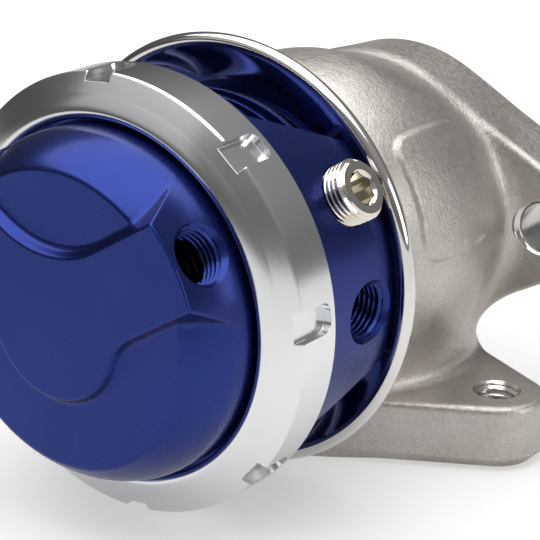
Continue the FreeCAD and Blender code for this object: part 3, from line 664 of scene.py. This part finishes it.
PAD_ANGLE, PAD_HALF_ARC, PAD_HALF_LENGTH, PAD_RADIUS = 20.0, 11.4, 9.8, 31.0
PAD_HEIGHT, PAD_CORNER, PAD_EDGE = 0.55, 4.0, 1.1


def flange_distance(x, y, centre, ear):
    """Signed distance to a two-bolt flange outline round the origin."""
    x, y = np.abs(x), np.abs(y)
    lean = (centre - ear) / HALF_PITCH
    rise = math.sqrt(1 - lean * lean)
    along = x * rise - y * lean
    tangent = x * lean + y * rise - centre
    near = np.hypot(x, y) - centre
    far = np.hypot(x - HALF_PITCH, y) - ear
    return np.where(along < 0, near, np.where(along > HALF_PITCH * rise, far, tangent))


def bulb_radius(s):
    """The bulb's radius along its axis: a straight neck, a front arc and a flatter rear arc."""
    def on_arc(centre, radius):
        return centre[0] + np.sqrt(np.maximum(radius ** 2 - (s - centre[1]) ** 2, 1))
    return np.where(s < NECK[1], NECK[0],
                    np.where(s < BELLY[1], on_arc(FRONT_CENTRE, FRONT_CURVE),
                             on_arc(REAR_CENTRE, REAR_CURVE)))


def housing_shape(x, s, z):
    """The casting: a bulb with a raised pad, the outlet leg and two flanges, blended together."""
    fall = np.clip((s - BELLY[1]) / SQUASH_LENGTH, 0, 1)
    crown = CROWN_SQUASH + TAIL_SQUASH * fall * fall * (3 - 2 * fall)
    bulb = np.hypot(x, np.where(z > 0, z * crown, z)) - bulb_radius(s)
    angle = np.degrees(np.arctan2(z, x))
    across = np.abs(angle - PAD_ANGLE) * math.radians(1) * PAD_RADIUS - PAD_HALF_ARC
    along = np.abs(s - BELLY[1]) - PAD_HALF_LENGTH
    pad = np.clip(0.5 - trim(across, along, PAD_CORNER) / PAD_EDGE, 0, 1)
    bulb = bulb - PAD_HEIGHT * pad * pad * (3 - 2 * pad)
    bulb = trim(bulb, CAST_FRONT - s, CAST_EDGE)
    column = trim(np.hypot(x, s - COLUMN_STATION) - COLUMN_RADIUS, z, CAST_EDGE)
    body = merge(bulb, column, COLUMN_BLEND)
    edge = flange_distance(x, s - OUTLET_STATION, OUTLET_RADIUS, OUTLET_EAR)
    height = z + AXIS_HEIGHT
    outlet = trim(edge, height - OUTLET_THICKNESS, FLANGE_ROUND)
    outlet = np.maximum(outlet, (edge + FOOT_CHAMFER - height) * math.sqrt(0.5))
    inlet = trim(flange_distance(x, z, TAIL[0], INLET_EAR), INLET_FRONT - s, FLANGE_ROUND)
    body = merge(body, outlet, OUTLET_BLEND)
    body = merge(body, inlet, INLET_BLEND)
    return np.maximum(body, np.maximum(s - LENGTH - PAST_FACE, -AXIS_HEIGHT - PAST_FACE - z))


def outlet_bore(angle, height):
    """The outlet's bore, with a chamfered mouth and a wider throat behind it."""
    r = np.where(height < BORE_DEPTH, VALVE_BORE, THROAT_RADIUS)
    return np.maximum(r, BORE_MOUTH - np.maximum(height, 0))


def tapped_hole(angle, height):
    """An M8 hole through the outlet flange, chamfered at both ends."""
    mouth, widest = M8_MOUTH
    r = M8_RADIUS - M8_DEPTH * wave(angle, height, M8_PITCH)
    r = np.maximum(r, np.minimum(mouth + height - OUTLET_THICKNESS, widest))
    return np.maximum(r, np.minimum(mouth - height, widest))


def plain_hole(angle, height):
    """A clearance hole through the inlet flange, chamfered at both ends."""
    mouth, widest = PLAIN_MOUTH
    r = np.maximum(PLAIN_RADIUS, np.minimum(mouth + height - (LENGTH - INLET_FRONT), widest))
    return np.maximum(r, np.minimum(mouth - height, widest))


def make_housing():
    """The casting, with its machined faces, gas passage, guide bore and flange holes cut in."""
    housing = net("housing_casting", housing_shape, (-48.0, 45.0, -40.5), (48.0, 103.0, 34.0),
                  0.55)
    box = solid("machined_faces", [(x, s, z) for x in (-46.5, 46.5)
                                   for s in (HOUSING_FRONT, LENGTH)
                                   for z in (-AXIS_HEIGHT, CASTING_TOP)],
                BOX_FACES)
    combine(housing, [outward(box)], "INTERSECT")
    cuts = [lathe("gas_chamber", [(0, 70.5), (10.5, 70.5), (15.0, 58.5), (21.6, 63.5), (21.6, 93.6),
                                  (22.5, 93.6), (22.5, 101.0), (0, 101.0)]),
            lathe("guide_bore", [(0, 47.0), (9.1, 47.0), (9.1, 49.9), (7.0, 49.9), (7.0, 71.5),
                                 (0, 71.5)], 128),
            spun("outlet_bore", outlet_bore, -1.0, THROAT_END, (0, OUTLET_STATION, -AXIS_HEIGHT),
                 (0, 0, 1), 60, 192)]
    for side in (-1, 1):
        x = side * HALF_PITCH
        cuts += [spun(f"tapped_{side}", tapped_hole, -1.0, 14.5,
                      (x, OUTLET_STATION, -AXIS_HEIGHT), (0, 0, 1), 130),
                 spun(f"plain_{side}", plain_hole, -1.0, 30.0, (x, LENGTH, 0), (0, -1, 0), 125)]
    combine(housing, cuts)
    mark_cuts(housing, housing_shape)
    return shade(smooth(housing, 38, weighted=False), housing_shape)


# ---------------------------------------------------------------- springs and diaphragm

SPRING_LOW, SPRING_HIGH = 5.25, 27.35
SPRINGS = (("outer_coil", "outer_spring", 16.6, 1.3, 3.0),
           ("inner_coil", "inner_spring", 10.6, 1.0, 4.5))
MEMBRANE_RIM, MEMBRANE_FLOOR = 19.7, 29.45


def make_spring(name, radius, wire, turns, low, high):
    """An open coil spring along the valve's axis."""
    rows, around = int(turns * 40), 14
    up = np.array((0, 1, 0))
    points, faces = [], []
    for k in range(rows + 1):
        t = k / rows
        a = 2 * math.pi * turns * t
        middle = np.array((radius * math.cos(a), low + wire + (high - low - 2 * wire) * t,
                           radius * math.sin(a)))
        out = np.array((math.cos(a), 0, math.sin(a)))
        for j in range(around):
            b = 2 * math.pi * j / around
            points.append(tuple(middle + wire * (out * math.cos(b) + up * math.sin(b))))
    for k in range(rows):
        for j in range(around):
            n = (j + 1) % around
            faces.append((k * around + j, k * around + n, (k + 1) * around + n,
                          (k + 1) * around + j))
    faces.append(tuple(range(around))[::-1])
    faces.append(tuple(rows * around + j for j in range(around)))
    return smooth(outward(solid(name, points, faces)), 50, weighted=False)


def make_membrane():
    """A rolling diaphragm: a clamped rim, a sleeve and a floor."""
    profile = rounded([(3.1, MEMBRANE_FLOOR), (23.2, MEMBRANE_FLOOR, 2.0), (23.2, 19.15),
                       (32.4, 19.15), (32.4, 20.25), (24.3, 20.25), (24.3, 30.55, 3.1),
                       (3.1, 30.55)], 8)
    return smooth(lathe("rolling_diaphragm", profile, 128, closed=True), 40)


# ---------------------------------------------------------------- materials

class Nodes:
    """A small helper round one node tree."""

    def __init__(self, owner):
        owner.use_nodes = True
        self.owner = owner
        self.tree = owner.node_tree

    def fill(self, node, inputs):
        """Set a node's inputs, each to a number or linked to a socket."""
        for key, item in inputs.items():
            if isinstance(item, bpy.types.NodeSocket):
                self.tree.links.new(item, node.inputs[key])
            else:
                node.inputs[key].default_value = item

    def add(self, kind, inputs=None, **settings):
        node = self.tree.nodes.new(kind)
        for key, item in settings.items():
            setattr(node, key, item)
        self.fill(node, inputs or {})
        return node

    def calc(self, operation, a, b):
        return self.add("ShaderNodeMath", {0: a, 1: b}, operation=operation).outputs[0]

    def place(self):
        return self.add("ShaderNodeTexCoord").outputs["Object"]

    def noise(self, scale, detail=3.0, rough=0.5, vector=None):
        return self.add("ShaderNodeTexNoise", {"Vector": vector or self.place(), "Scale": scale,
                                               "Detail": detail, "Roughness": rough}).outputs["Fac"]

    def ramp(self, value, low, high, a, b):
        """Spread a value between low and high over a to b."""
        return self.add("ShaderNodeMapRange", {"Value": value, "From Min": low, "From Max": high,
                                               "To Min": a, "To Max": b}).outputs["Result"]

    def colours(self, value, stops):
        node = self.add("ShaderNodeValToRGB", {"Fac": value})
        ramp = node.color_ramp
        while len(ramp.elements) < len(stops):
            ramp.elements.new(0.5)
        for element, (at, colour) in zip(ramp.elements, stops):
            element.position = at
            element.color = (*colour, 1)
        return node.outputs["Color"]

    def bump(self, height, strength, distance, normal=None):
        inputs = {"Height": height, "Strength": strength, "Distance": distance}
        if normal is not None:
            inputs["Normal"] = normal
        return self.add("ShaderNodeBump", inputs).outputs["Normal"]

    def lathe_marks(self, pitch):
        """Fine rings round the valve's axis, in radius and along it."""
        parts = self.add("ShaderNodeSeparateXYZ", {0: self.place()}).outputs
        up = self.calc("SUBTRACT", parts["Z"], AXIS_HEIGHT / 1000)
        flat = self.add("ShaderNodeCombineXYZ", {"X": parts["X"], "Z": up}).outputs[0]
        radius = self.add("ShaderNodeVectorMath", {0: flat}, operation="LENGTH")
        ring = self.add("ShaderNodeCombineXYZ", {"X": radius.outputs["Value"], "Y": parts["Y"]})
        return self.noise(1 / pitch, 2.0, 0.6, ring.outputs[0])


class Surface(Nodes):
    """A material, with its shader at hand."""

    def __init__(self, name):
        super().__init__(bpy.data.materials.new(name))
        self.shader = self.tree.nodes["Principled BSDF"]

    def set(self, **inputs):
        """Set the shader's inputs, whose names are written with _ for a space."""
        self.fill(self.shader, {key.replace("_", " "): item for key, item in inputs.items()})
        return self.owner


FINE_BUMP = 0.00002


def blue_anodised():
    n = Surface("blue_anodised")
    grain = n.noise(3200, 2.0)
    cloud = n.noise(60, 2.0)
    return n.set(
        Base_Color=n.colours(cloud, [(0.3, (0.016, 0.031, 0.190)), (0.7, (0.020, 0.038, 0.215))]),
        Metallic=0.9, Roughness=n.ramp(grain, 0.3, 0.7, 0.25, 0.31),
        Specular_IOR_Level=0.5, Coat_Weight=0.12, Coat_Roughness=0.14,
        Normal=n.bump(grain, 0.07, FINE_BUMP))


def turned_aluminium():
    n = Surface("turned_aluminium")
    marks = n.lathe_marks(0.00022)
    cloud = n.noise(35, 3.0)
    return n.set(
        Base_Color=n.colours(cloud, [(0.3, (0.80, 0.80, 0.81)), (0.75, (0.87, 0.87, 0.87))]),
        Metallic=1.0, Roughness=n.ramp(marks, 0.3, 0.7, 0.17, 0.21), Anisotropic=0.35,
        Tangent=n.add("ShaderNodeTangent", direction_type="RADIAL", axis="Y").outputs[0],
        Normal=n.bump(marks, 0.025, FINE_BUMP))


def polished_steel():
    n = Surface("polished_steel")
    marks = n.lathe_marks(0.0006)
    cloud = n.noise(25, 3.0)
    return n.set(
        Base_Color=n.colours(cloud, [(0.3, (0.74, 0.72, 0.69)), (0.8, (0.80, 0.78, 0.76))]),
        Metallic=1.0, Roughness=n.ramp(marks, 0.3, 0.7, 0.05, 0.09),
        Normal=n.bump(marks, 0.02, FINE_BUMP))


def cast_steel():
    """A blasted casting, brighter and smoother where the machined attribute is set."""
    n = Surface("cast_steel")
    grain = n.noise(2600, 3.0, 0.62)
    pits = n.noise(900, 2.0, 0.55)
    cloud = n.noise(55, 4.0, 0.6)
    stain = n.colours(cloud, [(0.30, (0.47, 0.44, 0.40)), (0.55, (0.60, 0.57, 0.53)),
                              (0.80, (0.68, 0.65, 0.61))])
    speck = n.colours(grain, [(0.30, (0.62, 0.61, 0.60)), (0.62, (1.0, 1.0, 1.0))])
    mixed = n.add("ShaderNodeMix", {"Factor": 0.55}, data_type="RGBA", blend_type="MULTIPLY")
    n.fill(mixed, {"A": stain, "B": speck})
    cut = n.add("ShaderNodeAttribute", attribute_name="machined").outputs["Fac"]
    colour = n.add("ShaderNodeMix", {"Factor": cut}, data_type="RGBA")
    n.fill(colour, {"A": mixed.outputs["Result"], "B": (0.64, 0.62, 0.59, 1)})
    rough = n.add("ShaderNodeMix", {"Factor": cut, "A": n.ramp(pits, 0.3, 0.7, 0.34, 0.46),
                                    "B": n.ramp(pits, 0.3, 0.7, 0.20, 0.27)})
    coarse = n.bump(pits, n.ramp(cut, 0, 1, 0.5, 0.04), 0.00020)
    return n.set(Base_Color=colour.outputs["Result"], Metallic=n.ramp(cut, 0, 1, 0.82, 1.0),
                 Roughness=rough.outputs["Result"],
                 Normal=n.bump(grain, n.ramp(cut, 0, 1, 0.75, 0.08), 0.00010, coarse))


def bright_metal(name, colour, roughness, grain=1500):
    """A plain metal with a fine grain."""
    n = Surface(name)
    cloud = n.noise(grain / 20, 3.0)
    dark = tuple(c * 0.88 for c in colour)
    return n.set(
        Base_Color=n.colours(cloud, [(0.3, dark), (0.7, colour)]), Metallic=1.0,
        Roughness=n.ramp(n.noise(grain, 2.0), 0.3, 0.7, roughness * 0.8, roughness * 1.25),
        Normal=n.bump(n.noise(grain, 2.0), 0.08, FINE_BUMP))


def dull(name, colour, roughness, grain=2500):
    """A matt board or rubber with a fine speck."""
    n = Surface(name)
    speck = n.noise(grain, 3.0)
    dark = tuple(c * 0.6 for c in colour)
    return n.set(
        Base_Color=n.colours(speck, [(0.3, dark), (0.7, colour)]), Metallic=0.0,
        Roughness=n.ramp(speck, 0.3, 0.7, roughness * 0.9, min(1.0, roughness * 1.1)),
        Normal=n.bump(speck, 0.3, 0.00005))


MATERIALS = {
    "blue_anodised": blue_anodised(),
    "turned_aluminium": turned_aluminium(),
    "polished_steel": polished_steel(),
    "cast_steel": cast_steel(),
    "machined_steel": bright_metal("machined_steel", (0.62, 0.60, 0.58), 0.25),
    "nickel_plate": bright_metal("nickel_plate", (0.84, 0.80, 0.72), 0.09, 900),
    "screw_steel": bright_metal("screw_steel", (0.45, 0.45, 0.46), 0.35),
    "spring_steel": bright_metal("spring_steel", (0.35, 0.35, 0.37), 0.35),
    "plain_aluminium": bright_metal("plain_aluminium", (0.74, 0.74, 0.75), 0.32),
    "bronze": bright_metal("bronze", (0.60, 0.42, 0.22), 0.30),
    "gasket_board": dull("gasket_board", (0.20, 0.19, 0.18), 0.85),
    "black_seal": dull("black_seal", (0.03, 0.03, 0.03), 0.6),
    "diaphragm_rubber": dull("diaphragm_rubber", (0.035, 0.035, 0.04), 0.7),
}


# ---------------------------------------------------------------- the part

def dress(piece, name, slot, body, *nodes):
    """Name a piece, give it its material and body, and let it stand in for its CAD nodes."""
    piece.name = name
    piece.data.name = name
    wear(piece, slot)
    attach(piece, body)
    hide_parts(*nodes)
    return piece


def wear(piece, slot):
    piece.data.materials.clear()
    piece.data.materials.append(MATERIALS[slot])


def squash(piece, fixed, moving):
    """Give a piece its own copy of its mesh without shortening it; the moving station is not used.
    """
    tuple(to_frame((0, fixed, 0))[0])
    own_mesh(piece)


for part in frame["record"]["subparts"]:
    wear(frame["nodes"][part["node"]], part["material_slot"])

dress(make_collar(), "notched_collar", "turned_aluminium", "collar", "locking_collar")
dress(make_cap(), "domed_cap", "blue_anodised", "cap", "top_cap")
dress(make_actuator(), "finned_body", "blue_anodised", "housing", "actuator_body")
dress(make_plug(), "socket_plug", "nickel_plate", "housing", "port_plug")
dress(make_shield(), "dished_shield", "polished_steel", "housing", "heat_shield")
dress(make_housing(), "cast_housing", "cast_steel", "housing", "valve_housing")
for label, node, *sizes in SPRINGS:
    coil = make_spring(label, *sizes, SPRING_LOW, SPRING_HIGH)
    squash(dress(coil, label, "spring_steel", "housing", node), SPRING_LOW, SPRING_HIGH)
membrane = dress(make_membrane(), "rolling_diaphragm", "diaphragm_rubber", "housing", "diaphragm")
squash(membrane, MEMBRANE_RIM, MEMBRANE_FLOOR)


# ---------------------------------------------------------------- stage, camera and light

FLOOR_HALF, FLOOR_TOP = 6, -0.0002
WHITE = (1, 1, 1, 1)
CAMERA_AT = (0.2018, -0.28565, 0.1117)
CAMERA_AZIMUTH, CAMERA_ELEVATION = math.radians(36.99), math.radians(19.47)
ROOM_LEVELS = ((0.0, 0.50), (0.50, 0.20), (0.54, 0.14), (0.62, 0.16), (0.75, 0.26), (0.85, 0.32),
               (1.0, 0.50))
AIM = (0.0, -0.02, 0.038)


def make_stage():
    """A pale floor, white to the camera away from the part and keeping its shadow near it."""
    size = FLOOR_HALF
    corners = [(-size, -size), (size, -size), (size, size), (-size, size)]
    floor = solid("floor", [(x, y, FLOOR_TOP) for x, y in corners], [(0, 1, 2, 3)], bench=False)
    n = Surface("pale_floor")
    path = n.add("ShaderNodeLightPath").outputs
    seen = n.calc("MULTIPLY", n.calc("MAXIMUM", path["Is Camera Ray"],
                                     path["Is Transmission Ray"]), 1.25)
    seen = n.calc("MAXIMUM", seen, n.calc("MULTIPLY", path["Is Glossy Ray"], 0.85))
    reach = n.add("ShaderNodeVectorMath", {0: n.place()}, operation="LENGTH").outputs["Value"]
    paper = n.colours(n.noise(4.0, 2.0), [(0.3, (0.86, 0.86, 0.86)), (0.7, (0.88, 0.88, 0.88))])
    n.set(Base_Color=paper, Roughness=0.9, Specular_IOR_Level=0.1)
    glow = n.add("ShaderNodeEmission", {"Color": WHITE, "Strength": seen})
    mix = n.add("ShaderNodeMixShader", {"Fac": n.ramp(reach, 0.08, 0.30, 0.36, 1.0),
                                        1: n.shader.outputs[0], 2: glow.outputs[0]})
    n.fill(n.tree.nodes["Material Output"], {"Surface": mix.outputs[0]})
    floor.data.materials.append(n.owner)


def make_world():
    """A dim room for the part to reflect, with a white backdrop for the camera."""
    world = bpy.data.worlds.new("studio")
    bpy.context.scene.world = world
    n = Nodes(world)
    n.tree.nodes.clear()
    way = n.add("ShaderNodeTexCoord").outputs["Generated"]
    parts = n.add("ShaderNodeSeparateXYZ", {0: way}).outputs
    room = n.add("ShaderNodeBackground", {
        "Color": n.colours(n.ramp(parts["Z"], -1, 1, 0, 1),
                           [(at, (level, level, level * 1.01)) for at, level in ROOM_LEVELS]),
        "Strength": n.ramp(parts["X"], -1, 1, 0.45, 1.15)})
    white = n.add("ShaderNodeBackground", {"Color": WHITE, "Strength": 1.0})
    camera_ray = n.add("ShaderNodeLightPath").outputs["Is Camera Ray"]
    mix = n.add("ShaderNodeMixShader", {"Fac": camera_ray, 1: room.outputs[0],
                                        2: white.outputs[0]})
    n.add("ShaderNodeOutputWorld", {"Surface": mix.outputs[0]})


def place(name, data, at):
    """An object in the scene for a lamp or a camera."""
    piece = bpy.data.objects.new(name, data)
    bpy.context.scene.collection.objects.link(piece)
    piece.location = at
    return piece


def point(piece, way):
    """Turn a lamp or a camera to look along a direction."""
    piece.rotation_euler = way.to_track_quat("-Z", "Y").to_euler()


def lamp(name, at, size, power):
    light = bpy.data.lights.new(name, "AREA")
    light.shape = "RECTANGLE"
    light.size, light.size_y = size
    light.energy = power
    point(place(name, light, at), Vector(AIM) - Vector(at))


def make_camera():
    data = bpy.data.cameras.new("camera")
    data.sensor_width = 36.0
    data.lens = 133.33
    data.clip_start = 0.02
    camera = place("camera", data, Vector(CAMERA_AT) + Vector((0, 0, AXIS_HEIGHT / 1000)))
    level = math.cos(CAMERA_ELEVATION)
    point(camera, Vector((-math.sin(CAMERA_AZIMUTH) * level, math.cos(CAMERA_AZIMUTH) * level,
                          -math.sin(CAMERA_ELEVATION))))
    bpy.context.scene.camera = camera


make_stage()
make_world()
make_camera()
lamp("overhead", (-0.05, -0.08, 0.62), (0.90, 0.90), 5.6)
lamp("front_window", (-0.30, -0.50, 0.42), (0.50, 0.40), 0.22)
lamp("right_fill", (0.60, 0.05, 0.22), (0.40, 0.30), 0.9)
bpy.context.scene.view_settings.view_transform = "Standard"
